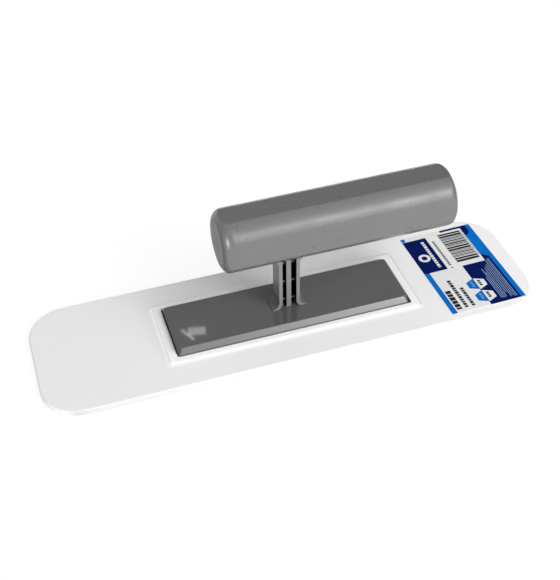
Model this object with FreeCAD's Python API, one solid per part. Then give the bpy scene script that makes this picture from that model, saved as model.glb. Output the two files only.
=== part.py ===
import FreeCAD, Part
import os
from FreeCAD import Vector

# Plastic plastering trowel: a flat blade with a handle of base plate, stem and grip.
# Frame: +Z up, origin at the centre of the blade's flat working face (z = 0),
# +X along the blade (towards the long end of the grip), +Y across it. Millimetres.
# "Left" is the -X end and "right" the +X end.

# ---- blade ----------------------------------------------------------------
BLADE_LENGTH = 240.0
BLADE_WIDTH = 70.0
BLADE_T = 3.0
BLADE_CORNER = 19.0           # corner radius in plan
BLADE_TOP_EDGE = 0.8          # rounding of the upper edge
BLADE_WORKING_EDGE = 0.35     # rounding of the working edge

# raised rim round the pocket that holds the base plate
RIM_TOP = 4.0                 # height of the rim's top face
RIM_X0, RIM_X1 = -60.3, 62.3
RIM_Y = 19.8                  # half width at the top
RIM_DRAFT = 0.8               # the rim spreads by this much down to the blade
RIM_CORNER = 1.6              # plan radius at the top
RIM_ROOT_CORNER = RIM_CORNER + RIM_DRAFT / 2
RIM_SINK = 0.5                # depth of the rim's root inside the blade
RIM_EDGE = 0.3                # rounding of the top face's edges
POCKET_X0, POCKET_X1 = -56.5, 58.7
POCKET_Y = 17.2               # half width
POCKET_CORNER = 1.2
POCKET_FLOOR = 1.6

# ---- adhesive pad under the base plate ------------------------------------
PAD_T = 0.3
PAD_INSET = 0.9               # from the base plate's outline
PAD_CORNER = 2.0

# ---- base plate -----------------------------------------------------------
BASE_X0, BASE_X1 = -56.2, 57.3
BASE_Y = 16.95                # half width below the bevel
BASE_TOP_Y = 14.6             # half width of the flat top
BASE_Z0 = POCKET_FLOOR + PAD_T
BASE_BEVEL_Z = 4.0            # where the bevelled long sides start
BASE_TOP = 6.6
BASE_CORNER = 0.8             # corner radius below the bevel
BASE_TOP_CORNER = 2.8         # corner radius of the flat top
BASE_EDGE = 0.45              # rounding of the top edges
BASE_SKIN = 2.2               # thickness left over the cored underside
BASE_WALL = 2.4
CORE_COLUMNS = 3              # columns of cells on each side of the stem
CORE_RIB = 1.6                # thickness of the ribs between cells
CORE_CORNER = 1.0
CORE_STEM_HALF = 9.0          # half length of the solid part under the stem

# ---- grip: eight flats on a round barrel with rounded ends ----------------
GRIP_X0, GRIP_X1 = -25.5, 74.35        # ends of the tube
GRIP_TOP, GRIP_TOP_Y = 64.6, 5.7       # flat top: height, half width
GRIP_SIDE_Y = 13.5
GRIP_SIDE_Z0, GRIP_SIDE_Z1 = 44.6, 58.4
GRIP_BOTTOM, GRIP_BOTTOM_Y = 37.0, 6.2   # flat underside: height, half width
GRIP_RADIUS = 15.15                    # barrel that holds the flats
GRIP_AXIS_Z = (GRIP_TOP + GRIP_BOTTOM) / 2
GRIP_WALL = 2.4
GRIP_EDGE = 0.8                        # rounding between the outer flats
GRIP_INNER_EDGE = 0.6                  # rounding inside the tube and on the plugs
BARREL_OVERRUN = 4.0                   # barrel length past an end left square
CAP_LENGTH = 5.5                       # visible length of an end cap
CAP_EDGE_LEFT = 5.4                    # rounding of the barrel's left end
CAP_EDGE_RIGHT = 4.1                   # rounding of its right end
PLUG_LENGTH = 7.0
PLUG_WALL = 1.8

# ---- stem -----------------------------------------------------------------
STEM_X = 1.4                  # centre of the stem
STEM_Z0, STEM_Z1 = BASE_TOP, GRIP_BOTTOM
STEM_HALF = 5.05              # half width over the two flanges
FLANGE_T = 1.65
FLANGE_Y = 4.7                # half depth of the flanges
POST_HALF = 1.25              # centre post, half width
POST_Y = 3.6                  # centre post, half depth
POST_EDGE = 0.3               # rounding of the post's upright edges
WEB_Y = 0.6                   # web between the flanges, half thickness
WEB_HALF = STEM_HALF - 0.5    # web and ribs, half width; they end inside the flanges
RIB_Y = 2.0                   # cross ribs, half depth
RIB_T = 1.1
RIB_MIDDLE_Z = 21.5
RIB_PITCH = 10.9

# flares at the ends of the flanges; x is measured from the stem centre
FOOT_X = 8.35                 # tip of the foot
FOOT_HEIGHT = 4.2             # height of the foot's curve
FOOT_INNER_LEAN = 1.7         # the foot's inner side leans out by this much
FOOT_INNER_HEIGHT = 2.9       # over this height
FOOT_INNER_MIDDLE = (0.4, 0.48)   # point on that curve, as fractions of lean and height
HEAD_X = 8.2                  # tip of the upper flare
HEAD_HEIGHT = 4.2
TIP_T = 0.5                   # thickness at the tips of the flares

# tenons through the base plate and the grip wall, each with a wider head
TENON_X, TENON_Y = 3.0, 1.0   # half sizes
TENON_HEAD_LIP = 1.2          # the head's overhang on every side
TENON_HEAD_T = 1.3
TENON_HEAD_GAP = 0.2          # lower head to the base plate's underside
TENON_LOWER_END = 0.4         # lower tenon's end above the same underside
TENON_UPPER_SINK = 0.2        # upper tenon's reach into its head
RECESS_LIP = 1.4              # the head recess's overhang round the tenon
CLEARANCE = 0.1

# ---- label ----------------------------------------------------------------
LABEL_X, LABEL_Y = 92.65, -0.35     # centre
LABEL_SIZE_X, LABEL_SIZE_Y = 39.0, 60.0
LABEL_CORNER = 0.8
LABEL_ANGLE = 1.3                   # slightly askew, degrees
LABEL_T = 0.12

OVERCUT = 1.0                 # how far cutters run past the faces they open
TOLERANCE = 1e-6
COS_45 = 0.5 ** 0.5


# ---- helpers --------------------------------------------------------------
def closed_wire(segments):
    """Wire of lines (two points) and arcs (start, middle, end)."""
    edges = []
    for points in segments:
        if len(points) == 2:
            edges.append(Part.makeLine(*points))
        else:
            edges.append(Part.Arc(*points).toShape())
    return Part.Wire(Part.__sortEdges__(edges))


def rounded_rect(x0, x1, y0, y1, radius, z):
    """Wire of a rectangle with rounded corners at height z."""
    inset = radius * (1.0 - COS_45)
    ends = [
        Vector(x0 + radius, y0, z), Vector(x1 - radius, y0, z),
        Vector(x1, y0 + radius, z), Vector(x1, y1 - radius, z),
        Vector(x1 - radius, y1, z), Vector(x0 + radius, y1, z),
        Vector(x0, y1 - radius, z), Vector(x0, y0 + radius, z),
    ]
    corners = [
        Vector(x1 - inset, y0 + inset, z), Vector(x1 - inset, y1 - inset, z),
        Vector(x0 + inset, y1 - inset, z), Vector(x0 + inset, y0 + inset, z),
    ]
    segments = []
    for i, corner in enumerate(corners):
        start, turn, after = ends[2 * i], ends[2 * i + 1], ends[(2 * i + 2) % 8]
        segments += [(start, turn), (turn, corner, after)]
    return closed_wire(segments)


def rounded_plate(x0, x1, y0, y1, radius, z0, z1):
    face = Part.Face(rounded_rect(x0, x1, y0, y1, radius, z0))
    return face.extrude(Vector(0, 0, z1 - z0))


def stem_box(half_x, half_y, z0, z1):
    """Box centred on the stem's axis."""
    corner = Vector(STEM_X - half_x, -half_y, z0)
    return Part.makeBox(2 * half_x, 2 * half_y, z1 - z0, corner)


def tenon_slot(z0, z1):
    return stem_box(TENON_X + CLEARANCE, TENON_Y + CLEARANCE, z0, z1)


def edges_in_plane(shape, axis, value):
    """Edges that lie wholly where the coordinate named axis has this value."""
    found = []
    for edge in shape.Edges:
        first, last = edge.FirstParameter, edge.LastParameter
        points = [edge.valueAt(first + (last - first) * t) for t in (0.0, 0.25, 0.5, 0.75, 1.0)]
        if all(abs(getattr(point, axis) - value) < TOLERANCE for point in points):
            found.append(edge)
    return found


def edges_along(shape, axis):
    """Edges that start parallel to the axis."""
    return [
        edge for edge in shape.Edges
        if abs(abs(getattr(edge.tangentAt(edge.FirstParameter), axis)) - 1.0) < TOLERANCE
    ]


def single(shape):
    """The one solid of a shape, cleaned of seams."""
    shape = shape.removeSplitter()
    solids = shape.Solids
    assert len(solids) == 1, "expected one solid, got %d" % len(solids)
    assert solids[0].isValid()
    return solids[0]


def octagon(inset):
    """Points (y, z) of the grip's section, with its sides moved inwards by inset."""
    points = [
        (GRIP_TOP_Y, GRIP_TOP), (GRIP_SIDE_Y, GRIP_SIDE_Z1),
        (GRIP_SIDE_Y, GRIP_SIDE_Z0), (GRIP_BOTTOM_Y, GRIP_BOTTOM),
        (-GRIP_BOTTOM_Y, GRIP_BOTTOM), (-GRIP_SIDE_Y, GRIP_SIDE_Z0),
        (-GRIP_SIDE_Y, GRIP_SIDE_Z1), (-GRIP_TOP_Y, GRIP_TOP),
    ]
    if not inset:
        return points
    # each side as a line: normal_y * y + normal_z * z = offset
    lines = []
    for (y0, z0), (y1, z1) in zip(points, points[1:] + points[:1]):
        length = ((y1 - y0) ** 2 + (z1 - z0) ** 2) ** 0.5
        # the points run clockwise seen from +X, so the inside is to the right
        normal_y, normal_z = (z1 - z0) / length, (y0 - y1) / length
        lines.append((normal_y, normal_z, normal_y * y0 + normal_z * z0 + inset))
    # neighbouring lines cross at the moved points
    moved = []
    for i in range(len(lines)):
        ny0, nz0, offset0 = lines[i - 1]
        ny1, nz1, offset1 = lines[i]
        det = ny0 * nz1 - ny1 * nz0
        moved.append(((offset0 * nz1 - offset1 * nz0) / det,
                      (ny0 * offset1 - ny1 * offset0) / det))
    return moved


def octagon_prism(x0, x1, inset=0.0):
    points = [Vector(x0, y, z) for y, z in octagon(inset)]
    wire = Part.makePolygon(points + points[:1])
    return Part.Face(wire).extrude(Vector(x1 - x0, 0, 0))


def soft_prism(x0, x1, radius, inset=0.0):
    """Octagonal prism with its long edges rounded."""
    body = octagon_prism(x0, x1, inset)
    return body.makeFillet(radius, edges_along(body, "x"))


def barrel(x0, x1, round_x=None, round_radius=0.0):
    """The grip's outer form from x0 to x1: soft flats held inside a round barrel.
    round_x is the end, if any, that is rounded."""
    body = soft_prism(x0, x1, GRIP_EDGE)
    start = x0 if round_x == x0 else x0 - BARREL_OVERRUN
    end = x1 if round_x == x1 else x1 + BARREL_OVERRUN
    cylinder = Part.makeCylinder(
        GRIP_RADIUS, end - start, Vector(start, 0, GRIP_AXIS_Z), Vector(1, 0, 0))
    if round_x is not None:
        cylinder = cylinder.makeFillet(round_radius, edges_in_plane(cylinder, "x", round_x))
    return body.common(cylinder)


# ---- pieces ---------------------------------------------------------------
def make_blade():
    half_x, half_y = BLADE_LENGTH / 2, BLADE_WIDTH / 2
    body = rounded_plate(-half_x, half_x, -half_y, half_y, BLADE_CORNER, 0, BLADE_T)
    body = body.makeFillet(BLADE_TOP_EDGE, edges_in_plane(body, "z", BLADE_T))
    body = body.makeFillet(BLADE_WORKING_EDGE, edges_in_plane(body, "z", 0))
    # the rim, wider at its root than at its top
    root = (RIM_X0 - RIM_DRAFT, RIM_X1 + RIM_DRAFT,
            -RIM_Y - RIM_DRAFT, RIM_Y + RIM_DRAFT, RIM_ROOT_CORNER)
    sunk_root = rounded_plate(*root, BLADE_T - RIM_SINK, BLADE_T)
    top = rounded_rect(RIM_X0, RIM_X1, -RIM_Y, RIM_Y, RIM_CORNER, RIM_TOP)
    rim = Part.makeLoft([rounded_rect(*root, BLADE_T), top], True, True)
    body = body.fuse([sunk_root, rim])
    pocket = rounded_plate(POCKET_X0, POCKET_X1, -POCKET_Y, POCKET_Y, POCKET_CORNER,
                           POCKET_FLOOR, RIM_TOP + OVERCUT)
    body = single(body.cut(pocket))
    # inner and outer edges of the rim's top face
    return single(body.makeFillet(RIM_EDGE, edges_in_plane(body, "z", RIM_TOP)))


def make_pad():
    return rounded_plate(BASE_X0 + PAD_INSET, BASE_X1 - PAD_INSET,
                         -BASE_Y + PAD_INSET, BASE_Y - PAD_INSET,
                         PAD_CORNER, POCKET_FLOOR, BASE_Z0)


def core_cells():
    """Cells that hollow the base plate's underside, in two rows on each side of the stem."""
    spans = (
        (BASE_X0 + BASE_WALL, STEM_X - CORE_STEM_HALF),
        (STEM_X + CORE_STEM_HALF, BASE_X1 - BASE_WALL),
    )
    outer_y, inner_y = BASE_Y - BASE_WALL, CORE_RIB / 2
    cells = []
    for span_x0, span_x1 in spans:
        pitch = (span_x1 - span_x0 + CORE_RIB) / CORE_COLUMNS
        for i in range(CORE_COLUMNS):
            x0 = span_x0 + i * pitch
            for y0, y1 in ((-outer_y, -inner_y), (inner_y, outer_y)):
                cells.append(rounded_plate(x0, x0 + pitch - CORE_RIB, y0, y1, CORE_CORNER,
                                           BASE_Z0 - OVERCUT, BASE_TOP - BASE_SKIN))
    return Part.makeCompound(cells)


def make_base():
    outline = (BASE_X0, BASE_X1, -BASE_Y, BASE_Y, BASE_CORNER)
    lower = rounded_plate(*outline, BASE_Z0, BASE_BEVEL_Z)
    top = rounded_rect(BASE_X0, BASE_X1, -BASE_TOP_Y, BASE_TOP_Y, BASE_TOP_CORNER, BASE_TOP)
    bevelled = Part.makeLoft([rounded_rect(*outline, BASE_BEVEL_Z), top], True, True)
    body = lower.fuse(bevelled).removeSplitter()
    body = body.makeFillet(BASE_EDGE, edges_in_plane(body, "z", BASE_TOP))
    body = body.cut(core_cells())
    # slot for the stem's tenon, with a recess for its head
    slot = tenon_slot(BASE_Z0 - OVERCUT, BASE_TOP + OVERCUT)
    recess = stem_box(TENON_X + RECESS_LIP, TENON_Y + RECESS_LIP,
                      BASE_Z0 - OVERCUT, BASE_Z0 + TENON_HEAD_GAP + TENON_HEAD_T)
    return single(body.cut(slot).cut(recess))


def make_flange(side):
    """One flange of the stem, flared outwards at both ends. side is -1 or +1 in X."""
    def point(x, z):
        return Vector(STEM_X + side * x, -FLANGE_Y, z)

    inner_x = STEM_HALF - FLANGE_T
    foot_z, head_z = STEM_Z0 + TIP_T, STEM_Z1 - TIP_T
    lean_part, height_part = FOOT_INNER_MIDDLE

    foot_corner = point(FOOT_X, STEM_Z0)
    foot_tip = point(FOOT_X, foot_z)
    foot_middle = point(FOOT_X - (FOOT_X - STEM_HALF) * COS_45,
                        foot_z + FOOT_HEIGHT * (1 - COS_45))
    outer_low = point(STEM_HALF, foot_z + FOOT_HEIGHT)
    outer_high = point(STEM_HALF, head_z - HEAD_HEIGHT)
    head_middle = point(HEAD_X - (HEAD_X - STEM_HALF) * COS_45,
                        head_z - HEAD_HEIGHT * (1 - COS_45))
    head_tip = point(HEAD_X, head_z)
    head_corner = point(HEAD_X, STEM_Z1)
    inner_high = point(inner_x, STEM_Z1)
    inner_low = point(inner_x, STEM_Z0 + FOOT_INNER_HEIGHT)
    inner_middle = point(inner_x + FOOT_INNER_LEAN * lean_part,
                         STEM_Z0 + FOOT_INNER_HEIGHT * height_part)
    inner_foot = point(inner_x + FOOT_INNER_LEAN, STEM_Z0)
    wire = closed_wire([
        (foot_corner, foot_tip),
        (foot_tip, foot_middle, outer_low),
        (outer_low, outer_high),
        (outer_high, head_middle, head_tip),
        (head_tip, head_corner),
        (head_corner, inner_high),
        (inner_high, inner_low),
        (inner_low, inner_middle, inner_foot),
        (inner_foot, foot_corner),
    ])
    return Part.Face(wire).extrude(Vector(0, 2 * FLANGE_Y, 0))


def make_tenons():
    """Lower tenon and head, then upper tenon and head."""
    lower_head = BASE_Z0 + TENON_HEAD_GAP
    upper_head = STEM_Z1 + GRIP_WALL
    head_size = (TENON_X + TENON_HEAD_LIP, TENON_Y + TENON_HEAD_LIP)
    return [
        stem_box(TENON_X, TENON_Y, BASE_Z0 + TENON_LOWER_END, STEM_Z0),
        stem_box(*head_size, lower_head, lower_head + TENON_HEAD_T),
        stem_box(TENON_X, TENON_Y, STEM_Z1, upper_head + TENON_UPPER_SINK),
        stem_box(*head_size, upper_head, upper_head + TENON_HEAD_T),
    ]


def make_stem():
    parts = [
        make_flange(1),
        stem_box(WEB_HALF, WEB_Y, STEM_Z0, STEM_Z1),
        stem_box(POST_HALF, POST_Y, STEM_Z0, STEM_Z1),
    ]
    for i in (-1, 0, 1):
        z = RIB_MIDDLE_Z + i * RIB_PITCH
        parts.append(stem_box(WEB_HALF, RIB_Y, z - RIB_T / 2, z + RIB_T / 2))
    body = single(make_flange(-1).fuse(parts + make_tenons()))
    post_edges = [
        edge for edge in edges_along(body, "z")
        if abs(abs(edge.valueAt(edge.FirstParameter).y) - POST_Y) < TOLERANCE
    ]
    # guards the post's fillet: the post stays sharp if it fails or gives a bad solid
    try:
        return single(body.makeFillet(POST_EDGE, post_edges))
    except Exception:
        return body


def make_tube():
    bore = soft_prism(GRIP_X0 - OVERCUT, GRIP_X1 + OVERCUT, GRIP_INNER_EDGE, GRIP_WALL)
    body = barrel(GRIP_X0, GRIP_X1).cut(bore)
    return single(body.cut(tenon_slot(GRIP_BOTTOM - OVERCUT, GRIP_BOTTOM + GRIP_WALL + OVERCUT)))


def make_cap(side):
    """End cap with a hollow plug. side is -1 for the left end, +1 for the right."""
    face, edge_radius = (GRIP_X0, CAP_EDGE_LEFT) if side < 0 else (GRIP_X1, CAP_EDGE_RIGHT)
    tip = face + side * CAP_LENGTH
    plug_end = face - side * PLUG_LENGTH
    core_end = plug_end - side * OVERCUT
    plug_inset = GRIP_WALL + CLEARANCE
    head = barrel(*sorted((face, tip)), tip, edge_radius)
    plug = soft_prism(*sorted((face, plug_end)), GRIP_INNER_EDGE, plug_inset)
    # the core is open towards the tube and stops at the cap's inner face
    core = octagon_prism(*sorted((face, core_end)), plug_inset + PLUG_WALL)
    return single(head.fuse(plug).cut(core))


def make_label():
    half_x, half_y = LABEL_SIZE_X / 2, LABEL_SIZE_Y / 2
    label = rounded_plate(-half_x, half_x, -half_y, half_y, LABEL_CORNER, 0, LABEL_T)
    label.rotate(Vector(0, 0, 0), Vector(0, 0, 1), LABEL_ANGLE)
    label.translate(Vector(LABEL_X, LABEL_Y, BLADE_T))
    return label


PARTS = {
    "blade": make_blade,
    "adhesive_pad": make_pad,
    "base_plate": make_base,
    "stem": make_stem,
    "grip_tube": make_tube,
    "end_cap_left": lambda: make_cap(-1),
    "end_cap_right": lambda: make_cap(1),
    "label": make_label,
}

os.makedirs("parts", exist_ok=True)
for name, make_part in PARTS.items():
    make_part().exportStep("parts/%s.step" % name)
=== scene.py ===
"""A flat white blade with a grey grip held above it on a stem.

The blade lies on the floor (z = 0) with its long side along X. A raised rim on it frames a pocket
that holds the handle's base plate. The stem rises from the plate to the grip, which runs along X.
A printed label lies on the blade's right part. Right is +X, back is +Y. Shapes are worked out in
millimetres; materials, lights and the camera are in metres.
"""
import math
from functools import cached_property

import bmesh
import bpy
from mathutils import Matrix, Vector
from mathutils.geometry import delaunay_2d_cdt


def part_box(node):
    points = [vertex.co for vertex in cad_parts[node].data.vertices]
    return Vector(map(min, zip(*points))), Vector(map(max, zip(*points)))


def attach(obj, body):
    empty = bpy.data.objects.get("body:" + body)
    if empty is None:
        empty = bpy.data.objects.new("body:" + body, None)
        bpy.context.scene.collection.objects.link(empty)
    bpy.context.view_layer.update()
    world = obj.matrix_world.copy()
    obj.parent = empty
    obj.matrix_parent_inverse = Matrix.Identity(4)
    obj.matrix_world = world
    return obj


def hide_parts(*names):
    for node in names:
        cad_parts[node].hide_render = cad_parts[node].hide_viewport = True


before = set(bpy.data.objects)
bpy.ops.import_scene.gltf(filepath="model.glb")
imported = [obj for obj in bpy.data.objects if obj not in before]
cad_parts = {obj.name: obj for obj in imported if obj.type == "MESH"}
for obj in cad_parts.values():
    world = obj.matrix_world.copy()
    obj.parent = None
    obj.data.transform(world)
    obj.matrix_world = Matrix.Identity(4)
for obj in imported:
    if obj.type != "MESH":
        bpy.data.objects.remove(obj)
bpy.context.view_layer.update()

MM = 0.001
QUARTER = math.pi / 2
scene = bpy.context.scene


def node_box(name):
    """Lowest and highest corner of a CAD node, in millimetres."""
    lo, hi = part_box(name)
    return lo / MM, hi / MM


stem_lo, stem_hi = node_box("stem")
STEM_X = (stem_lo.x + stem_hi.x) / 2

# pocket in the blade: x0, x1, y0, y1
POCKET = (-56.5, 58.7, -17.2, 17.2)


# --------------------------------------------------------------------------
# mesh kit
# --------------------------------------------------------------------------
def ladder(loop):
    """Faces that close a loop mirrored about its first vertex, with rungs across it."""
    n = len(loop)
    half = n // 2
    faces = [(loop[0], loop[1], loop[n - 1])]
    for i in range(1, half - 1):
        faces.append((loop[i], loop[i + 1], loop[n - i - 1], loop[n - i]))
    faces.append((loop[half - 1], loop[half], loop[half + 1]))
    return faces


def loft(loops, ring=False):
    """Skin over loops of equal counts: capped at both ends, or joined last to first."""
    n = len(loops[0])
    verts = [point for loop in loops for point in loop]
    ids = [range(i * n, (i + 1) * n) for i in range(len(loops))]
    following = ids[1:] + ids[:1] if ring else ids[1:]
    faces = []
    for a, b in zip(ids, following):
        for i in range(n):
            j = (i + 1) % n
            faces.append((a[i], a[j], b[j], b[i]))
    if not ring:
        faces += ladder(ids[0]) + ladder(ids[-1])
    return verts, faces


def link_mesh(name, mesh):
    obj = bpy.data.objects.new(name, mesh)
    scene.collection.objects.link(obj)
    return obj


def solid_object(name, solid, material):
    """Object made from a solid's vertices (millimetres) and faces."""
    verts, faces = solid
    mesh = bpy.data.meshes.new(name)
    mesh.from_pydata([Vector(p) * MM for p in verts], [], faces)
    mesh.materials.append(material)
    bm = bmesh.new()
    bm.from_mesh(mesh)
    bmesh.ops.remove_doubles(bm, verts=bm.verts, dist=1e-7)
    bmesh.ops.recalc_face_normals(bm, faces=bm.faces)
    bm.to_mesh(mesh)
    bm.free()
    return link_mesh(name, mesh)


def shade_smooth(mesh):
    mesh.polygons.foreach_set("use_smooth", [True] * len(mesh.polygons))


def smooth(obj, weighted=True, angle=None):
    """Smooth shading; weighted normals lean on the large faces, so that flats stay flat."""
    shade_smooth(obj.data)
    if angle is not None:
        obj.data.set_sharp_from_angle(angle=math.radians(angle))
    if weighted:
        normals = obj.modifiers.new("normals", "WEIGHTED_NORMAL")
        normals.mode = "FACE_AREA"
        normals.weight = 80
        normals.keep_sharp = True
    return obj


def bake_modifiers(obj):
    """Replaces the mesh with its evaluated one and drops the modifiers."""
    graph = bpy.context.evaluated_depsgraph_get()
    graph.update()
    baked = bpy.data.meshes.new_from_object(obj.evaluated_get(graph), depsgraph=graph)
    old = obj.data
    obj.modifiers.clear()
    obj.data = baked
    bpy.data.meshes.remove(old)


def cut(obj, name, solid):
    """Takes a solid out of an object."""
    cutter = solid_object(name, solid, obj.data.materials[0])
    difference = obj.modifiers.new("cut", "BOOLEAN")
    difference.operation = "DIFFERENCE"
    difference.solver = "EXACT"
    difference.object = cutter
    bake_modifiers(obj)
    mesh = cutter.data
    bpy.data.objects.remove(cutter)
    bpy.data.meshes.remove(mesh)


def quad_arc(start, corner, end, steps):
    """Points of a corner rounded from start to end, as a quadratic arc."""
    points = []
    for i in range(steps + 1):
        t = i / steps
        points.append(tuple(
            (1 - t) * (1 - t) * p + 2 * t * (1 - t) * q + t * t * r
            for p, q, r in zip(start, corner, end)
        ))
    return points


def rounded_rect(x0, x1, y0, y1, radius, z, steps):
    """Rounded rectangle in plan, counter-clockwise from the middle of its +X side.

    steps counts the segments of a corner, of a side along X and of a side along Y (even).
    """
    corner_steps, x_steps, y_steps = steps
    middle = (y0 + y1) / 2
    half = y_steps // 2
    points = [(x1, middle + (y1 - radius - middle) * k / half) for k in range(half)]

    def corner(cx, cy, start):
        for k in range(corner_steps + 1):
            a = start + QUARTER * k / corner_steps
            points.append((cx + radius * math.cos(a), cy + radius * math.sin(a)))

    def side(ax, ay, bx, by, count):
        for k in range(1, count):
            t = k / count
            points.append((ax + (bx - ax) * t, ay + (by - ay) * t))

    corner(x1 - radius, y1 - radius, 0)
    side(x1 - radius, y1, x0 + radius, y1, x_steps)
    corner(x0 + radius, y1 - radius, QUARTER)
    side(x0, y1 - radius, x0, y0 + radius, y_steps)
    corner(x0 + radius, y0 + radius, math.pi)
    side(x0 + radius, y0, x1 - radius, y0, x_steps)
    corner(x1 - radius, y0 + radius, 3 * QUARTER)
    for k in range(1, half):
        points.append((x1, y0 + radius + (middle - y0 - radius) * k / half))
    return [(x, y, z) for x, y in points]


def block(x0, x1, y0, y1, z0, z1, radius):
    """Solid block with rounded upright edges, used as a cutter."""
    return loft([rounded_rect(x0, x1, y0, y1, radius, z, (4, 2, 2)) for z in (z0, z1)])


def stem_hole(half_x, half_y, z0, z1):
    """Nearly sharp-edged block centred on the stem."""
    return block(STEM_X - half_x, STEM_X + half_x, -half_y, half_y, z0, z1, 0.1)


TENON = (3.1, 1.1)       # half sizes in X and Y of the hole for the stem's tenon


# --------------------------------------------------------------------------
# shader kit
# --------------------------------------------------------------------------
class Graph:
    def __init__(self, tree):
        self.tree = tree
        tree.nodes.clear()

    def new(self, kind, **props):
        node = self.tree.nodes.new(kind)
        for key, value in props.items():
            setattr(node, key, value)
        return node

    def link(self, output, socket):
        self.tree.links.new(output, socket)

    def feed(self, socket, value):
        """Sets a socket to a number or a colour, or links an output to it."""
        if isinstance(value, (int, float)):
            socket.default_value = value
        elif isinstance(value, tuple):
            socket.default_value = (*value, 1.0)
        else:
            self.link(value, socket)

    def calc(self, operation, a, b=None):
        node = self.new("ShaderNodeMath", operation=operation)
        self.feed(node.inputs[0], a)
        if b is not None:
            self.feed(node.inputs[1], b)
        return node.outputs[0]


class Material(Graph):
    """Principled material; textures and places use object coordinates, in metres."""

    SOCKETS = {
        "color": "Base Color", "rough": "Roughness", "normal": "Normal",
        "spec": "Specular IOR Level",
    }

    def __init__(self, name):
        self.mat = bpy.data.materials.new(name)
        self.mat.use_nodes = True
        super().__init__(self.mat.node_tree)
        self.out = self.new("ShaderNodeOutputMaterial")
        self.bsdf = self.new("ShaderNodeBsdfPrincipled")
        self.link(self.bsdf.outputs[0], self.out.inputs[0])

    @cached_property
    def coord(self):
        return self.new("ShaderNodeTexCoord").outputs["Object"]

    def noise(self, scale, detail=2.0, rough=0.5, stretch=None):
        node = self.new("ShaderNodeTexNoise")
        node.inputs["Scale"].default_value = scale
        node.inputs["Detail"].default_value = detail
        node.inputs["Roughness"].default_value = rough
        vector = self.coord
        if stretch:
            mapping = self.new("ShaderNodeMapping")
            mapping.inputs["Scale"].default_value = stretch
            self.link(vector, mapping.inputs[0])
            vector = mapping.outputs[0]
        self.link(vector, node.inputs["Vector"])
        return node.outputs[0]

    def remap(self, value, source, target):
        """Maps the range source to the range target."""
        node = self.new("ShaderNodeMapRange")
        node.inputs["From Min"].default_value = source[0]
        node.inputs["From Max"].default_value = source[1]
        node.inputs["To Min"].default_value = target[0]
        node.inputs["To Max"].default_value = target[1]
        self.link(value, node.inputs["Value"])
        return node.outputs[0]

    def spread(self, noise, low, high):
        """Spreads the usual range of a noise over low to high."""
        return self.remap(noise, (0.3, 0.7), (low, high))

    def rise(self, value, start, end):
        """0 at start, 1 at end."""
        return self.remap(value, (start, end), (0.0, 1.0))

    def fall(self, value, start, end):
        """1 at start, 0 at end."""
        return self.remap(value, (start, end), (1.0, 0.0))

    def within(self, value, centre, half, soft=0.00003):
        """1 where value is within half of centre, fading to 0 over soft."""
        distance = self.calc("ABSOLUTE", self.calc("SUBTRACT", value, centre))
        return self.fall(distance, half, half + soft)

    def mix(self, factor, first, second):
        node = self.new("ShaderNodeMix", data_type="RGBA")
        for socket, value in zip((0, 6, 7), (factor, first, second)):
            self.feed(node.inputs[socket], value)
        return node.outputs[2]

    def bump(self, height, strength, distance, normal=None):
        node = self.new("ShaderNodeBump")
        node.inputs["Strength"].default_value = strength
        node.inputs["Distance"].default_value = distance
        self.link(height, node.inputs["Height"])
        if normal is not None:
            self.link(normal, node.inputs["Normal"])
        return node.outputs[0]

    def part(self, vector, i):
        node = self.new("ShaderNodeSeparateXYZ")
        self.link(vector, node.inputs[0])
        return node.outputs[i]

    def axis(self, i):
        """Position along one axis of the object."""
        return self.part(self.coord, i)

    def normal(self, i, kind="Normal"):
        """One component of the surface normal."""
        return self.part(self.new("ShaderNodeNewGeometry").outputs[kind], i)

    def set(self, **values):
        for key, value in values.items():
            self.feed(self.bsdf.inputs[self.SOCKETS[key]], value)
        return self.mat


def grey(value):
    return (value, value, value)


def scaled(color, factor):
    return tuple(c * factor for c in color)


# --------------------------------------------------------------------------
# materials
# --------------------------------------------------------------------------
def paint_stem_shade(m, color, spec, channel_x):
    """Painted shade: near-black walls and floor with little sheen in the channels beside the
    post, darker upper sides on the feet.
    """
    walls = m.fall(m.calc("ABSOLUTE", m.normal(1, "True Normal")), start=0.25, end=0.6)
    floor_ = m.fall(m.calc("ABSOLUTE", m.axis(1)), start=0.0011, end=0.0014)
    deep_shade = m.calc("MULTIPLY", m.calc("MAXIMUM", walls, floor_),
                  m.within(m.axis(0), centre=channel_x, half=0.00343))
    foot_shade = m.calc("MULTIPLY", walls, m.fall(m.axis(2), start=0.0108, end=0.0122))
    # painted shade: darker sides low on the feet, near black in the channels
    color = m.mix(foot_shade, color, grey(0.075))
    color = m.mix(deep_shade, color, grey(0.0015))
    return color, m.calc("MULTIPLY", m.remap(deep_shade, (0.0, 1.0), (1.0, 0.02)), spec)


def paint_cap_light(m, color, spec):
    """Painted light and shade on the caps: a paler rounding on the left end, a darker left end
    face with less sheen, darker surfaces that face right.
    """
    right = m.normal(0)
    left = m.calc("MULTIPLY", right, -1.0)
    color = m.mix(m.rise(left, start=0.10, end=0.45), color, grey(0.114))
    face = m.rise(left, start=0.80, end=0.99)
    color = m.mix(face, color, grey(0.044))
    spec = m.calc("MULTIPLY", m.remap(face, (0.0, 1.0), (1.0, 0.45)), spec)
    color = m.mix(m.rise(right, start=0.15, end=0.70), color, grey(0.060))
    return color, spec


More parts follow.
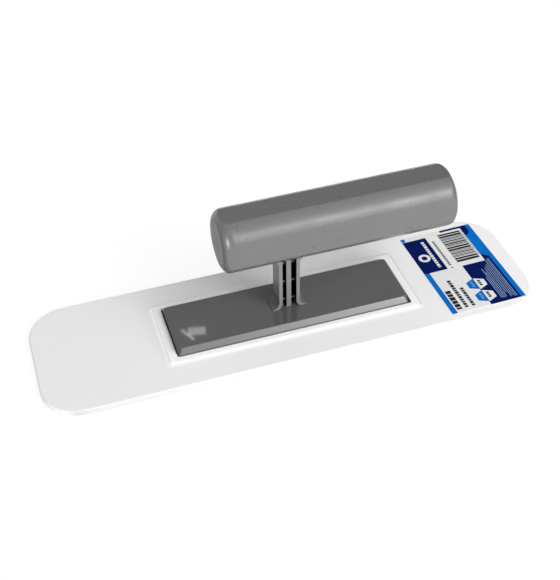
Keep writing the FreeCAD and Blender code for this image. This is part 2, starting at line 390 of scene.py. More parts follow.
def moulded(name, base, rough, grain, grain_depth, grain_strength,
            vary=0.05, rough_vary=0.06, wave=0.0, channel_x=None, ends=False):
    """Moulded plastic: slightly cloudy colour, a fine mould grain and uneven sheen.

    grain is the scale of the grain, vary the share by which the colour drifts and wave the
    strength of a broad waviness. channel_x paints shade into the stem's channels and feet;
    ends paints light and shade onto the caps.
    """
    m = Material(name)
    spec = 0.5
    cloud = m.noise(scale=38.0, detail=3.0)
    fleck = m.noise(scale=grain * 0.6)
    color = m.mix(m.spread(cloud, 0.0, 1.0), scaled(base, 1 - vary), scaled(base, 1 + vary))
    color = m.mix(m.spread(fleck, 0.0, 0.25), color, scaled(base, 1 + 2 * vary))
    sheen = m.spread(m.noise(scale=120.0, detail=4.0), rough - rough_vary, rough + rough_vary)
    if channel_x:
        color, spec = paint_stem_shade(m, color, spec, channel_x)
    if ends:
        color, spec = paint_cap_light(m, color, spec)
    normal = m.bump(m.noise(scale=grain, detail=3.0, rough=0.6), grain_strength, grain_depth)
    if wave:
        normal = m.bump(m.noise(scale=26.0, detail=1.0), wave, 0.0004, normal)
    return m.set(color=color, rough=sheen, normal=normal, spec=spec)


def white_plastic():
    """White plastic of the blade, with painted light and shade on the rim, side walls and pocket.
    """
    # the rim's tone and the tone of surfaces facing left are painted light on the same white
    white, rim_painted_white, left_lit_white = 0.588, 0.68, 0.93
    pocket_x = (POCKET[0] + POCKET[1]) / 2 * MM
    # the painted shade in the pocket stops just short of the pocket's walls
    shade_half_x = ((POCKET[1] - POCKET[0]) / 2 - 0.02) * MM
    shade_half_y = (POCKET[3] - 0.02) * MM
    m = Material("white_plastic")
    cloud = m.noise(scale=16.0, detail=3.0)
    color = m.mix(m.spread(cloud, 0.0, 1.0), grey(white * 0.985), grey(white * 1.01))
    height = m.axis(2)
    # painted light and shade on the rim: a paler top than the blade, slopes paler towards the
    # left and the back, greyer towards the right
    light_side = m.calc("ADD", m.calc("MULTIPLY", m.normal(0), -0.55),
                  m.calc("MULTIPLY", m.normal(1), 0.28))
    slope = m.mix(m.rise(light_side, start=-0.35, end=0.22), grey(rim_painted_white * 0.52), grey(left_lit_white))
    color = m.mix(m.rise(height, start=0.0028, end=0.0032), color, slope)
    # painted shade on the outer walls that face the front, painted light on those that face the
    # left, below the blade's top
    for axis, facing, turned, tone in ((1, -0.8, -0.4, 0.49), (0, -0.7, -0.25, left_lit_white)):
        wall = m.calc("MULTIPLY", m.fall(m.normal(axis), start=facing, end=turned),
                      m.fall(height, start=0.0026, end=0.0030))
        color = m.mix(wall, color, grey(tone))
    # painted shade: near black in the pocket below the rim's top
    pocket_shade = m.calc("MULTIPLY", m.within(m.axis(0), centre=pocket_x, half=shade_half_x),
                  m.within(m.axis(1), centre=0.0, half=shade_half_y))
    pocket_shade = m.calc("MULTIPLY", pocket_shade, m.fall(height, start=0.0036, end=0.0039))
    color = m.mix(pocket_shade, color, grey(0.012))
    # light rubbing marks, drawn out along the blade
    rub = m.noise(scale=900.0, detail=4.0, rough=0.65, stretch=(0.05, 1.0, 1.0))
    sheen = m.calc("ADD", m.spread(m.noise(scale=70.0, detail=3.0), 0.30, 0.38),
                   m.spread(rub, -0.03, 0.05))
    skin = m.bump(m.noise(scale=700.0), strength=0.10, distance=0.00002)
    normal = m.bump(rub, strength=0.06, distance=0.000012, normal=skin)
    return m.set(color=color, rough=sheen, normal=normal, spec=0.5)


def film(name, base):
    """Printed label film: a slight print mottle under an uneven sheen."""
    rough, rough_vary = 0.30, 0.05
    m = Material(name)
    mottle = m.noise(scale=1500.0, detail=3.0)
    color = m.mix(m.spread(mottle, 0.0, 1.0), scaled(base, 0.95), scaled(base, 1.04))
    sheen = m.spread(m.noise(scale=140.0, detail=3.0), rough - rough_vary, rough + rough_vary)
    normal = m.bump(m.noise(scale=180.0), strength=0.04, distance=0.00002)
    return m.set(color=color, rough=sheen, normal=normal, spec=0.03)


SATIN = dict(base=grey(0.089), rough=0.31, grain=1900.0, grain_depth=0.00012,
             grain_strength=0.45)
MAT_BLADE = white_plastic()
MAT_GRIP = moulded("grey_satin", **SATIN)
# ends=True paints light and shade onto the caps
MAT_CAP = moulded("grey_cap", **SATIN, ends=True)
# channel_x paints shade into the stem's channels and onto its feet
MAT_STEM = moulded("grey_plastic", base=grey(0.130), rough=0.34, grain=3000.0,
                   grain_depth=0.00004, grain_strength=0.25, channel_x=STEM_X * MM)
MAT_PLATE = moulded("grey_gloss", base=grey(0.066), rough=0.025, grain=1200.0,
                    grain_depth=0.000002, grain_strength=0.05,
                    vary=0.04, rough_vary=0.01, wave=0.05)
# the pad is dark; its near-black tone is also painted shade seen in the gaps round the plate
MAT_PAD = moulded("adhesive", base=grey(0.05), rough=0.7, grain=900.0,
                  grain_depth=0.00005, grain_strength=0.4)
# in the order of the label's material slots
MAT_LABEL = [
    film("film_white", grey(0.565)),
    film("film_navy", (0.0, 0.0052, 0.070)),
    film("film_blue", (0.0, 0.110, 0.410)),
    film("film_ink", (0.016, 0.016, 0.017)),
    film("film_pale", (0.19, 0.26, 0.40)),
]
WHITE, NAVY, BLUE, INK, PALE = range(5)


# --------------------------------------------------------------------------
# blade: outline, raised rim and pocket in one lofted skin
# --------------------------------------------------------------------------
BLADE_TOP = 3.0
BLADE_RADIUS = 19.0                  # corners in plan
BLADE_STEPS = (18, 40, 12)
UNDER_EDGE, TOP_EDGE = 0.35, 0.8     # roundings of the outline's lower and upper edges
RIM = (-60.3, 62.3, -19.8, 19.8)     # x0, x1, y0, y1
RIM_RADIUS, POCKET_RADIUS = 1.6, 1.2


def grown(rect, growth, radius, z):
    """Loop of a rectangle whose sides are all moved outwards by growth."""
    x0, x1, y0, y1 = rect
    return rounded_rect(x0 - growth, x1 + growth, y0 - growth, y1 + growth, radius, z,
                        BLADE_STEPS)


def make_blade():
    lo, hi = node_box("blade")
    rim_top = hi.z
    floor_z = node_box("adhesive_pad")[0].z

    def outline(inset, z):
        return grown((lo.x, hi.x, lo.y, hi.y), -inset, BLADE_RADIUS - inset, z)

    def rim(growth, z):
        return grown(RIM, growth, RIM_RADIUS + growth * 0.5, z)

    def pocket(growth, z):
        return grown(POCKET, growth, POCKET_RADIUS + growth, z)

    # underside and outer wall
    loops = [outline(6.0, 0.0), outline(0.9, 0.0)]
    for i in range(4):
        a = QUARTER * i / 3
        loops.append(outline(UNDER_EDGE * (1 - math.sin(a)), UNDER_EDGE * (1 - math.cos(a))))
    loops.append(outline(0.0, BLADE_TOP - TOP_EDGE))
    for i in range(1, 7):
        a = QUARTER * i / 6
        loops.append(outline(TOP_EDGE * (1 - math.cos(a)),
                             BLADE_TOP - TOP_EDGE + TOP_EDGE * math.sin(a)))
    loops.append(outline(1.4, BLADE_TOP))
    # hollow slope up to the rim, then over it and down into the pocket
    loops.append(rim(3.6, BLADE_TOP))
    for make, start, corner, end, steps in (
            (rim, (2.9, BLADE_TOP), (0.7, BLADE_TOP), (0.16, rim_top - 0.24), 9),
            (rim, (0.14, rim_top - 0.18), (0.04, rim_top), (-0.28, rim_top), 4),
            (pocket, (0.3, rim_top), (0.0, rim_top), (0.0, rim_top - 0.3), 4),
            (pocket, (0.0, floor_z + 0.25), (0.0, floor_z), (-0.25, floor_z), 3)):
        loops += [make(growth, z) for growth, z in quad_arc(start, corner, end, steps)]
    loops.append(pocket(-0.9, floor_z))
    return smooth(solid_object("blade_moulding", loft(loops), MAT_BLADE))


# --------------------------------------------------------------------------
# base plate: bevelled long sides, rounded corners, cored underside
# --------------------------------------------------------------------------
PLATE_HALF_Y = 16.95
PLATE_TOP_HALF_Y = 14.6
PLATE_BEVEL_Z = 4.0      # where the long sides start to lean in
PLATE_SOFT = 0.35        # reach of the softening above and below that line
PLATE_EDGE = 0.45        # rounding of the top edge
PLATE_TUCK = 0.16        # extra narrowing of the long sides where they meet the top
PLATE_STEPS = (12, 40, 12)
CORE_SKIN, CORE_WALL, CORE_RIB = 2.2, 2.4, 1.6
CORE_STEM_GAP = 9.0      # from the stem's middle to the nearest cored cells


def core_cells(x0, x1, z0, z1):
    """Cells hollowed out of the underside: three by two on each side of the stem."""
    y_in = PLATE_HALF_Y - CORE_WALL
    half_rib = CORE_RIB / 2
    verts, faces = [], []
    for start, end in ((x0 + CORE_WALL, STEM_X - CORE_STEM_GAP),
                       (STEM_X + CORE_STEM_GAP, x1 - CORE_WALL)):
        step = (end - start + CORE_RIB) / 3.0
        for i in range(3):
            x = start + i * step
            for y0, y1 in ((-y_in, -half_rib), (half_rib, y_in)):
                cell_verts, cell_faces = block(x, x + step - CORE_RIB, y0, y1,
                                               z0 - 1, z1 - CORE_SKIN, 1.0)
                first = len(verts)
                verts += cell_verts
                faces += [tuple(first + j for j in face) for face in cell_faces]
    return verts, faces


def make_base():
    lo, hi = node_box("base_plate")
    x0, x1, z0, z1 = lo.x, hi.x, lo.z, hi.z
    lean = (PLATE_HALF_Y - PLATE_TOP_HALF_Y) / (z1 - PLATE_BEVEL_Z)

    def half_y(z):
        """Half width of the plate at height z, softened where the bevel starts."""
        if abs(z - PLATE_BEVEL_Z) < PLATE_SOFT:
            t = (z - PLATE_BEVEL_Z + PLATE_SOFT) / (2 * PLATE_SOFT)
            return PLATE_HALF_Y - lean * PLATE_SOFT * t * t
        return PLATE_HALF_Y - max(z - PLATE_BEVEL_Z, 0.0) * lean

    def outline(inset, y, z):
        """Outline at height z: nearly square below the bevel, rounder at the top."""
        t = max(0.0, (z - PLATE_BEVEL_Z) / (z1 - PLATE_BEVEL_Z))
        radius = 0.8 + 2.0 * t - inset
        return rounded_rect(x0 + inset, x1 - inset, -y, y, radius, z, PLATE_STEPS)

    loops = [outline(inset, PLATE_HALF_Y - inset, z)
             for inset, z in ((0.5, z0), (0.15, z0), (0.0, z0 + 0.15))]
    for z in (*(PLATE_BEVEL_Z + d for d in (-0.36, -0.2, 0.0, 0.2, 0.36)),
              4.7, 5.2, 5.7, z1 - PLATE_EDGE - 0.1):
        loops.append(outline(0.0, half_y(z), z))
    for i in range(7):
        a = QUARTER * i / 6
        z = z1 - PLATE_EDGE + PLATE_EDGE * math.sin(a)
        # the bevel and the top meet in a shorter rounding than the end wall does
        y = half_y(z) - PLATE_TUCK * math.sin(a) ** 6
        loops.append(outline(PLATE_EDGE * (1 - math.cos(a)), y, z))
    loops.append(outline(PLATE_EDGE + 0.7, PLATE_TOP_HALF_Y - PLATE_TUCK - 0.7, z1))
    plate = solid_object("base_moulding", loft(loops), MAT_PLATE)

    cut(plate, "core_cut", core_cells(x0, x1, z0, z1))
    # the tenon's slot and the wider recess below it
    cut(plate, "slot_cut", stem_hole(*TENON, z0 - 1, z1 + 1))
    cut(plate, "head_cut", stem_hole(4.4, 2.4, z0 - 1, z0 + 1.5))
    return smooth(plate, angle=40)


# --------------------------------------------------------------------------
# grip: eight flats, some slightly crowned, on a round barrel with rounded ends
# --------------------------------------------------------------------------
# corners (y, z) of the section's +Y half, from the top down
GRIP_CORNERS = [(5.7, 64.6), (13.5, 59.1), (13.5, 44.6), (6.2, 37.0)]
GRIP_Z = 50.8            # height of the grip's axis
GRIP_R = 15.15           # round barrel that the flats are cut into
CLIP_SOFT = 0.22         # softening where the barrel and the flats meet
BORE_INSET = 2.4
# the five flats of the half section, from the top down: bulge and segments of each
CROWN = (0.0, 0.36, 0.04, 0.2, 0.0)
UNCROWNED = (0.0,) * 5
FLAT_STEPS = (8, 18, 20, 18, 8)
CORNER_STEPS = 6


def inset_corners(inset):
    """The +Y half's four corners, with all sides of the section moved inwards."""
    if not inset:
        return GRIP_CORNERS
    full = GRIP_CORNERS + [(-y, z) for y, z in reversed(GRIP_CORNERS)]
    lines = []           # inward normal and distance of each side
    for i, (y0, z0) in enumerate(full):
        y1, z1 = full[(i + 1) % len(full)]
        dy, dz = y1 - y0, z1 - z0
        length = math.hypot(dy, dz)
        ny, nz = dz / length, -dy / length
        lines.append((ny, nz, ny * (y0 + ny * inset) + nz * (z0 + nz * inset)))
    corners = []
    for i in range(4):
        a1, b1, c1 = lines[i - 1]
        a2, b2, c2 = lines[i]
        det = a1 * b2 - a2 * b1
        corners.append(((c1 * b2 - c2 * b1) / det, (a1 * c2 - a2 * c1) / det))
    return corners


def unit(a, b):
    length = math.hypot(b[0] - a[0], b[1] - a[1])
    return (b[0] - a[0]) / length, (b[1] - a[1]) / length


def fillet(before, corner, after, radius):
    """Rounds a corner: the arc's first tangent point, its points and its last tangent point."""
    u, w = unit(corner, before), unit(corner, after)
    turn = math.acos(-(u[0] * w[0] + u[1] * w[1]))
    reach = radius * math.tan(turn / 2)
    first = (corner[0] + u[0] * reach, corner[1] + u[1] * reach)
    last = (corner[0] + w[0] * reach, corner[1] + w[1] * reach)
    bisector = (u[0] + w[0], u[1] + w[1])
    length = math.hypot(*bisector)
    depth = math.hypot(radius, reach)
    cy = corner[0] + bisector[0] / length * depth
    cz = corner[1] + bisector[1] / length * depth
    start = math.atan2(first[1] - cz, first[0] - cy)
    end = math.atan2(last[1] - cz, last[0] - cy)
    sweep = (end - start + math.pi) % (2 * math.pi) - math.pi
    angles = [start + sweep * k / CORNER_STEPS for k in range(CORNER_STEPS + 1)]
    return first, [(cy + radius * math.cos(a), cz + radius * math.sin(a)) for a in angles], last


def section(x, inset=0.0, radius=0.25, crown=CROWN):
    """Loop at x: the +Y half from the top's middle to the underside's, then its mirror."""
    corners = inset_corners(inset)
    path = [(0.0, corners[0][1]), *corners, (0.0, corners[3][1])]
    fillets = [fillet(*path[i - 1:i + 2], radius) for i in range(1, 5)]
    starts = [path[0]] + [last for _, _, last in fillets]
    ends = [first for first, _, _ in fillets] + [path[5]]
    half = []
    for i, (a, b, steps) in enumerate(zip(starts, ends, FLAT_STEPS)):
        u = unit(a, b)
        # the arcs already hold the points that they share with the flats
        for k in range(0 if i == 0 else 1, steps if i < 4 else steps + 1):
            t = k / steps
            bulge = crown[i] * 4 * t * (1 - t)
            half.append((a[0] + (b[0] - a[0]) * t - u[1] * bulge,
                         a[1] + (b[1] - a[1]) * t + u[0] * bulge))
        if i < 4:
            half += fillets[i][1]
    full = half + [(-y, z) for y, z in reversed(half[1:-1])]
    return [(x, y, z) for y, z in full]


def bore(x, inset, radius):
    """Inner section with plain flats."""
    return section(x, inset, radius, UNCROWNED)


def clipped(x, limit):
    """The outer section at x, kept inside a circle of radius limit about the grip's axis."""
    points = []
    for _, y, z in section(x):
        distance = math.hypot(y, z - GRIP_Z)
        blend = max(CLIP_SOFT - abs(distance - limit), 0.0) / CLIP_SOFT
        factor = (min(distance, limit) - blend * blend * CLIP_SOFT / 4) / distance
        points.append((x, y * factor, GRIP_Z + (z - GRIP_Z) * factor))
    return points


def make_tube():
    lo, hi = node_box("grip_tube")
    x0, x1 = lo.x, hi.x
    steps = 16
    loops = [clipped(x0 + (x1 - x0) * i / steps, GRIP_R) for i in range(steps + 1)]
    loops += [bore(x, BORE_INSET, 0.6) for x in (x1, x1 - 8, x0 + 8, x0)]
    tube = solid_object("grip_barrel", loft(loops, ring=True), MAT_GRIP)
    under = GRIP_CORNERS[3][1]
    cut(tube, "grip_cut", stem_hole(*TENON, under - 1, under + BORE_INSET + 1))
    return smooth(tube, angle=50)


def make_cap(name, face, tip, outward, nose):
    """Round-nosed end of the grip with the hollow plug that fills the barrel's bore.

    face is where the cap meets the barrel, outward the sign of its X direction and nose its
    rounding.
    """
    plug_inset, plug_wall, plug_length = 2.5, 1.8, 7.0
    hollow_inset = plug_inset + plug_wall
    # from the bottom of the hollow, over the plug, to the head:
    # depth behind the face, inset, corner radius
    plug = (
        (0.0, hollow_inset, 0.5),
        (plug_length - 0.3, hollow_inset, 0.5),
        (plug_length, hollow_inset - 0.2, 0.6),
        (plug_length, plug_inset + 0.4, 0.6),
        (plug_length - 0.5, plug_inset, 0.6),
        (0.0, plug_inset, 0.6),
    )
    loops = [bore(face - outward * depth, inset, radius) for depth, inset, radius in plug]
    loops.append(clipped(face, GRIP_R))
    steps = 60
    for i in range(steps + 1):
        a = QUARTER * i / steps
        loops.append(clipped(tip - outward * nose * (1 - math.sin(a)),
                             GRIP_R - nose * (1 - math.cos(a))))
    loops += [clipped(tip, radius) for radius in (9.2, 7.0, 4.0, 1.5)]
    return smooth(solid_object(name, loft(loops), MAT_CAP), angle=50)


# --------------------------------------------------------------------------
# label: one film whose face is split into plain blocks of colour
# --------------------------------------------------------------------------
# u and v are the label's own axes, close to X and Y
LABEL_CENTRE = (92.65, -0.35)
LABEL_TURN = math.radians(1.3)
LABEL_HALF_U, LABEL_HALF_V = 19.5, 30.0
LABEL_RADIUS = 0.8
LABEL_EDGE = 0.03        # slope round the film's upper edge
PRINT_MARGIN = 0.10

# stripes across u from v = 3.7 upwards: width, gap after it
STRIPES = (
    (1.60, 0.40), (1.30, 0.50), (0.42, 0.31), (0.63, 0.31), (0.42, 0.44),
    (0.84, 0.31), (0.42, 0.31), (0.42, 0.35), (1.40, 0.40), (1.30, 0.44),
    (0.42, 0.31), (0.63, 0.31), (1.05, 0.35), (0.42, 0.31), (0.84, 0.40),
    (0.42, 0.31), (0.63, 0.31), (0.42, 0.31), (1.45, 0.40), (1.25, 0.0),
)
# rows of small blocks: u0, u1, v0, v1, block lengths repeated from v1 downwards, gap
PRINT_ROWS = (
    (12.75, 13.35, 5.2, 25.6, (0.7, 0.55), 0.75),
    (-16.0, -13.2, -27.8, -14.0, (2.2, 1.9, 2.4, 2.1), 0.34),
    (-11.6, -9.8, -27.7, -7.2, (1.6, 1.2, 1.8, 1.4, 1.1), 0.30),
    (-8.0, -6.3, -27.6, -14.0, (1.5, 1.2, 1.7, 1.3), 0.30),
    (-4.9, -3.6, 3.0, 23.0, (0.9, 0.7, 1.0, 0.8), 0.42),
)
# pale rules on the dark block: u, v0, v1
RULES = (
    (7.7, -27.2, -11.5), (8.6, -27.4, -5.0), (9.5, -27.6, -7.5),
    (10.4, -27.2, -4.5), (11.5, -24.5, -3.5), (12.5, -28.0, -2.4),
    (13.5, -27.4, 0.0), (14.5, -28.2, 1.0), (15.4, -28.2, 1.6),
)
RULE_WIDTH = 0.34


def rect(u0, u1, v0, v1):
    return [(u0, v0), (u1, v0), (u1, v1), (u0, v1)]


def disc(u, v, radius, steps=28):
    angles = [2 * math.pi * i / steps for i in range(steps)]
    return [(u + radius * math.cos(a), v + radius * math.sin(a)) for a in angles]


def row(u0, u1, v0, v1, lengths, gap):
    """Blocks of the given lengths, laid from v1 down to v0."""
    blocks, v = [], v1
    while v > v0 + 0.4:
        length = min(lengths[len(blocks) % len(lengths)], v - v0)
        blocks.append(rect(u0, u1, v - length, v))
        v -= length + gap
    return blocks


def tile(v0, v1):
    """Left and right parts of a tile whose outer sides are shortened by sloping ends."""
    left, middle, right = -3.4, 1.3, 6.1
    slope = (v1 - v0) / 4
    return ([(middle, v0), (middle, v1), (left, v1 - slope), (left, v0 + slope)],
            [(middle, v0), (right, v0 + slope), (right, v1 - slope), (middle, v1)])


def label_shapes():
    """Polygons and their colours; later ones lie over earlier ones."""
    shapes = [
        (rect(-19.5, -17.3, 27.2, 29.7), BLUE),
        (rect(-19.5, -6.7, 0.9, 27.0), NAVY),
        (rect(-19.5, -16.7, -29.8, 0.9), BLUE),
        ([(2.2, 28.2), (17.0, 28.2), (17.0, 29.7), (2.6, 29.7)], NAVY),
        ([(13.6, 21.6), (15.6, 22.4), (17.0, 24.6), (17.0, 28.2), (13.6, 28.2)], NAVY),
        ([(13.6, 5.9), (17.0, 3.2), (17.0, 24.6), (15.6, 22.4), (13.6, 21.6)], BLUE),
        ([(0.9, -29.8), (17.0, -29.8), (17.0, 3.2), (13.6, 5.9), (13.6, 0.5), (0.9, 0.5)], NAVY),
        (rect(17.0, 19.5, -29.8, 29.8), BLUE),
    ]

    def add(color, *polygons):
        shapes.extend((polygon, color) for polygon in polygons)

    v = 3.7
    for width, gap in STRIPES:
        add(INK, rect(0.0, 12.4, v, v + width))
        v += width + gap
    for entry in PRINT_ROWS:
        add(INK, *row(*entry))
    add(BLUE, rect(-4.7, -3.7, 0.6, 1.6))
    # two tiles over the left edge of the dark block
    for v0, v1 in ((-18.2, -9.9), (-27.5, -19.0)):
        left, right = tile(v0, v1)
        add(BLUE, left)
        add(WHITE, right)
        add(INK, *row(2.4, 3.9, v0 + 1.9, v1 - 1.9, (1.2, 0.9), 0.35))
        add(PALE, *row(-1.2, -0.2, v0 + 2.1, v1 - 2.1, (0.9, 0.7), 0.55))
    for u, v0, v1 in RULES:
        add(PALE, rect(u, u + RULE_WIDTH, v0, v1))
    # ring and row of blocks on the left dark block
    add(WHITE, disc(-14.0, 12.2, 3.0))
    add(NAVY, disc(-14.0, 12.2, 1.5))
    add(WHITE, *row(-10.5, -8.9, 3.4, 24.4, (1.5, 1.2, 1.7, 1.3), 0.42))
    return shapes


def label_face(bm, z):
    """Flat face of the film at height z, divided along the edges of the shapes."""
    hu, hv = LABEL_HALF_U, LABEL_HALF_V
    outline = rounded_rect(-hu, hu, -hv, hv, LABEL_RADIUS, 0, (6, 2, 2))
    polygons = [[(u * (1 - LABEL_EDGE / hu), v * (1 - LABEL_EDGE / hv)) for u, v, _ in outline]]
    colors = [WHITE]
    lim_u, lim_v = hu - PRINT_MARGIN, hv - PRINT_MARGIN
    for polygon, color in label_shapes():
        polygons.append([(max(-lim_u, min(lim_u, u)), max(-lim_v, min(lim_v, v)))
                         for u, v in polygon])
        colors.append(color)
    verts, faces = [], []
    for polygon in polygons:
        faces.append(list(range(len(verts), len(verts) + len(polygon))))
        verts += [Vector(point) for point in polygon]
    points, _, cells, _, _, sources = delaunay_2d_cdt(verts, [], faces, 1, 1e-4)
    bm_verts = [bm.verts.new((p.x, p.y, z)) for p in points]
    for cell, source in zip(cells, sources):
        if not source:
            continue
        try:
            face = bm.faces.new([bm_verts[j] for j in cell])
        except ValueError:
            # the triangulation may give a repeated or degenerate face
            continue
        face.material_index = colors[max(source)]
    bmesh.ops.dissolve_limit(bm, angle_limit=0.01, verts=bm.verts, edges=bm.edges,
                             delimit={"MATERIAL"}, use_dissolve_boundaries=False)


def extrude(bm, edges):
    """Extrudes edges and returns the new vertices and edges."""
    geom = bmesh.ops.extrude_edge_only(bm, edges=edges)["geom"]
    return ([g for g in geom if isinstance(g, bmesh.types.BMVert)],
            [g for g in geom if isinstance(g, bmesh.types.BMEdge)])


def make_label():
    lo, hi = node_box("label")
    z0, z1 = lo.z, hi.z
    bm = bmesh.new()
    label_face(bm, z1)
    # the film's sloping edge, its side and its back
    verts, edges = extrude(bm, [edge for edge in bm.edges if edge.is_boundary])
    for v in verts:
        v.co.x *= 1 + LABEL_EDGE / LABEL_HALF_U
        v.co.y *= 1 + LABEL_EDGE / LABEL_HALF_V
        v.co.z = z1 - LABEL_EDGE
    verts, edges = extrude(bm, edges)
    for v in verts:
        v.co.z = z0
    bmesh.ops.contextual_create(bm, geom=edges)
    for face in bm.faces:
        if abs(face.normal.z) < 0.5 or face.calc_center_median().z < z1 - 0.01:
            face.material_index = WHITE
    bmesh.ops.recalc_face_normals(bm, faces=bm.faces)
    cos, sin = math.cos(LABEL_TURN), math.sin(LABEL_TURN)
    for vert in bm.verts:
        u, v = vert.co.x, vert.co.y
        vert.co = Vector((LABEL_CENTRE[0] + u * cos - v * sin,
                          LABEL_CENTRE[1] + u * sin + v * cos, vert.co.z)) * MM
    mesh = bpy.data.meshes.new("label_film")
    bm.to_mesh(mesh)
    bm.free()
    for material in MAT_LABEL:
        mesh.materials.append(material)
    return smooth(link_mesh("label_film", mesh), weighted=False, angle=30)


# --------------------------------------------------------------------------
# the object
# --------------------------------------------------------------------------
def register(obj, node):
    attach(obj, "root")
    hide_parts(node)


def set_material(obj, material):
    obj.data.materials.clear()
    obj.data.materials.append(material)


def dress_stem():
    """Keeps the CAD stem, with merged flats and softened edges."""
    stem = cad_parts["stem"]
    set_material(stem, MAT_STEM)
    merge = stem.modifiers.new("merge", "DECIMATE")
    merge.decimate_type = "DISSOLVE"
    merge.angle_limit = math.radians(1.0)
    bevel = stem.modifiers.new("edges", "BEVEL")
    bevel.width = 0.22 * MM
    bevel.segments = 3
    bevel.limit_method = "ANGLE"
    bevel.angle_limit = math.radians(35)
    bevel.harden_normals = True
    bevel.use_clamp_overlap = True
    shade_smooth(stem.data)


register(make_blade(), "blade")
register(make_base(), "base_plate")
register(make_tube(), "grip_tube")
tube_lo, tube_hi = node_box("grip_tube")
register(make_cap("cap_left", face=tube_lo.x, tip=node_box("end_cap_left")[0].x,
                  outward=-1, nose=5.4), "end_cap_left")
register(make_cap("cap_right", face=tube_hi.x, tip=node_box("end_cap_right")[1].x,
                  outward=1, nose=4.1), "end_cap_right")
register(make_label(), "label")
dress_stem()
set_material(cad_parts["adhesive_pad"], MAT_PAD)


# --------------------------------------------------------------------------
# floor, light and camera
# --------------------------------------------------------------------------
def make_floor():
    """Pale floor that also glows, for the camera only."""
    half, glow = 6.0, 0.85
    mesh = bpy.data.meshes.new("floor")
    corners = [(-half, -half, 0), (half, -half, 0), (half, half, 0), (-half, half, 0)]
    mesh.from_pydata(corners, [], [(0, 1, 2, 3)])
    obj = link_mesh("floor", mesh)
    m = Material("floor_pale")
    m.set(color=grey(0.92), rough=0.9, spec=0.1)
    emission = m.new("ShaderNodeEmission")
    m.feed(emission.inputs["Color"], grey(1.0))
    emission.inputs["Strength"].default_value = 1.0
    path = m.new("ShaderNodeLightPath")
    blend = m.new("ShaderNodeMixShader")
    m.link(m.calc("MULTIPLY", path.outputs["Is Camera Ray"], glow), blend.inputs[0])
    m.link(m.bsdf.outputs[0], blend.inputs[1])
    m.link(emission.outputs[0], blend.inputs[2])
    m.link(blend.outputs[0], m.out.inputs[0])
    mesh.materials.append(m.mat)
    return obj


def area(name, place, target, size, power, size_y=None, spread=None):
    """Area light at place, aimed at target; spread is in degrees."""
    light = bpy.data.lights.new(name, "AREA")
    light.shape = "RECTANGLE"
    light.size = size
    light.size_y = size_y or size
    light.energy = power
    if spread:
        light.spread = math.radians(spread)
    obj = bpy.data.objects.new(name, light)
    obj.location = place
    aim = Vector(target) - Vector(place)
    obj.rotation_euler = aim.to_track_quat("-Z", "Y").to_euler()
    scene.collection.objects.link(obj)
    return obj


def direction(azimuth, elevation):
    """Unit vector at an azimuth from -Y towards +X and an elevation, in degrees."""
    a, e = math.radians(azimuth), math.radians(elevation)
    return (math.sin(a) * math.cos(e), -math.cos(a) * math.cos(e), math.sin(e))


# soft regions of the surroundings: azimuth, elevation, strength, sharpness
LOBES = (
    (34.0, 37.0, 6.8, 14.0),     # main light, front right
    (38.0, 43.0, 8.5, 70.0),     # tighter core within it
    (180.0, 40.0, 0.30, 4.0),    # broad light from the back
    (-62.0, 12.0, 2.9, 50.0),    # low light from the left
    (165.0, 82.0, 0.45, 8.0),    # overhead
    (44.0, 17.0, -1.8, 40.0),    # darkened patch below the main light
)


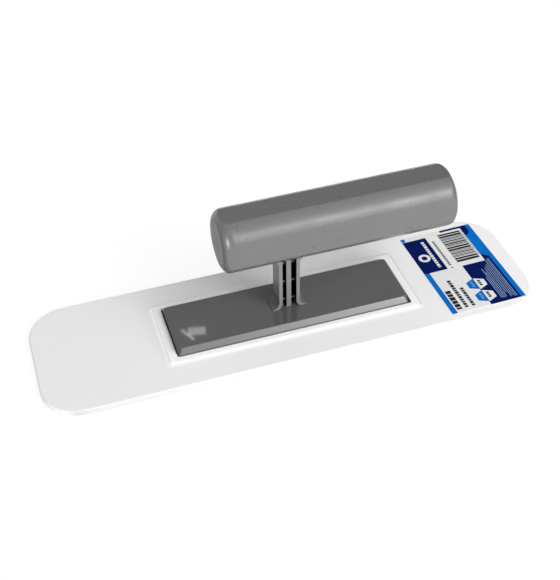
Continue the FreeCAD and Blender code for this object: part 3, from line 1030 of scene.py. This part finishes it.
def studio_world(ambient, lobes, backdrop):
    """Even surroundings with soft lobes; the camera sees a plain backdrop instead."""
    world = bpy.data.worlds.new("studio")
    world.use_nodes = True
    g = Graph(world.node_tree)
    ray = g.new("ShaderNodeTexCoord").outputs["Generated"]
    total = ambient
    for azimuth, elevation, strength, sharpness in lobes:
        dot = g.new("ShaderNodeVectorMath", operation="DOT_PRODUCT")
        g.link(ray, dot.inputs[0])
        dot.inputs[1].default_value = direction(azimuth, elevation)
        off_axis = g.calc("SUBTRACT", dot.outputs["Value"], 1.0)
        falloff = g.calc("EXPONENT", g.calc("MULTIPLY", off_axis, sharpness))
        total = g.calc("ADD", total, g.calc("MULTIPLY", falloff, strength))
    blend_inputs = [g.new("ShaderNodeBackground") for _ in range(2)]
    for node, strength in zip(blend_inputs, (total, backdrop)):
        g.feed(node.inputs["Color"], grey(1.0))
        g.feed(node.inputs["Strength"], strength)
    path = g.new("ShaderNodeLightPath")
    blend = g.new("ShaderNodeMixShader")
    out = g.new("ShaderNodeOutputWorld")
    g.link(path.outputs["Is Camera Ray"], blend.inputs[0])
    for i, node in enumerate(blend_inputs):
        g.link(node.outputs[0], blend.inputs[i + 1])
    g.link(blend.outputs[0], out.inputs[0])
    scene.world = world


def make_lights():
    area("nose_light", place=(-0.221, -0.111, 0.104), target=(-0.031, -0.010, 0.058),
         size=0.05, power=0.0072, spread=26.0)
    fill = area("near_fill", place=(0.25, -0.35, 0.10), target=(0.02, 0.0, 0.045),
                size=0.12, power=1.4)
    fill.visible_glossy = False  # keeps the panel out of the plate's reflections

    # two small panels behind the tool, reflected in the plate's polished top:
    # name, spot aimed at, way to the panel, size, size_y, power, turn about its own axis
    distance = 1.5
    for name, spot, way, size, size_y, power, turn in (
            ("strip", (-0.0445, -0.0062, 0.0066), (0.1429, 0.7107, 0.6888),
             0.034, 0.0145, 0.0062, 0.0),
            ("streak", (-0.0492, -0.0072, 0.0066), (0.1334, 0.7106, 0.6908),
             0.030, 0.0055, 0.0024, -42.0)):
        place = Vector(spot) + Vector(way) * distance
        panel = area(name, place, spot, size, power, size_y)
        panel.rotation_euler.rotate_axis("Z", math.radians(turn))


def make_camera():
    data = bpy.data.cameras.new("camera")
    camera = bpy.data.objects.new("camera", data)
    scene.collection.objects.link(camera)
    data.sensor_fit = "AUTO"
    data.sensor_width = 36.0
    data.lens = 63.8295
    data.shift_x = 0.049948
    data.shift_y = 0.001766
    data.clip_start = 0.01
    data.clip_end = 50.0
    # the camera's own axes
    right = (0.955271638, -0.294273688, -0.029310304)
    up = (0.216103541, 0.626965981, 0.748473725)
    backward = (-0.20187956, -0.721329782, 0.662516406)
    turn = Matrix((right, up, backward)).transposed().to_4x4()
    place = Vector((-0.112783286, -0.345855611, 0.335811013))
    camera.matrix_world = Matrix.Translation(place) @ turn
    scene.camera = camera


make_floor()
studio_world(ambient=0.25, lobes=LOBES, backdrop=1.0)
make_lights()
make_camera()
scene.view_settings.view_transform = "Standard"
scene.view_settings.look = "None"

bpy.context.view_layer.update()
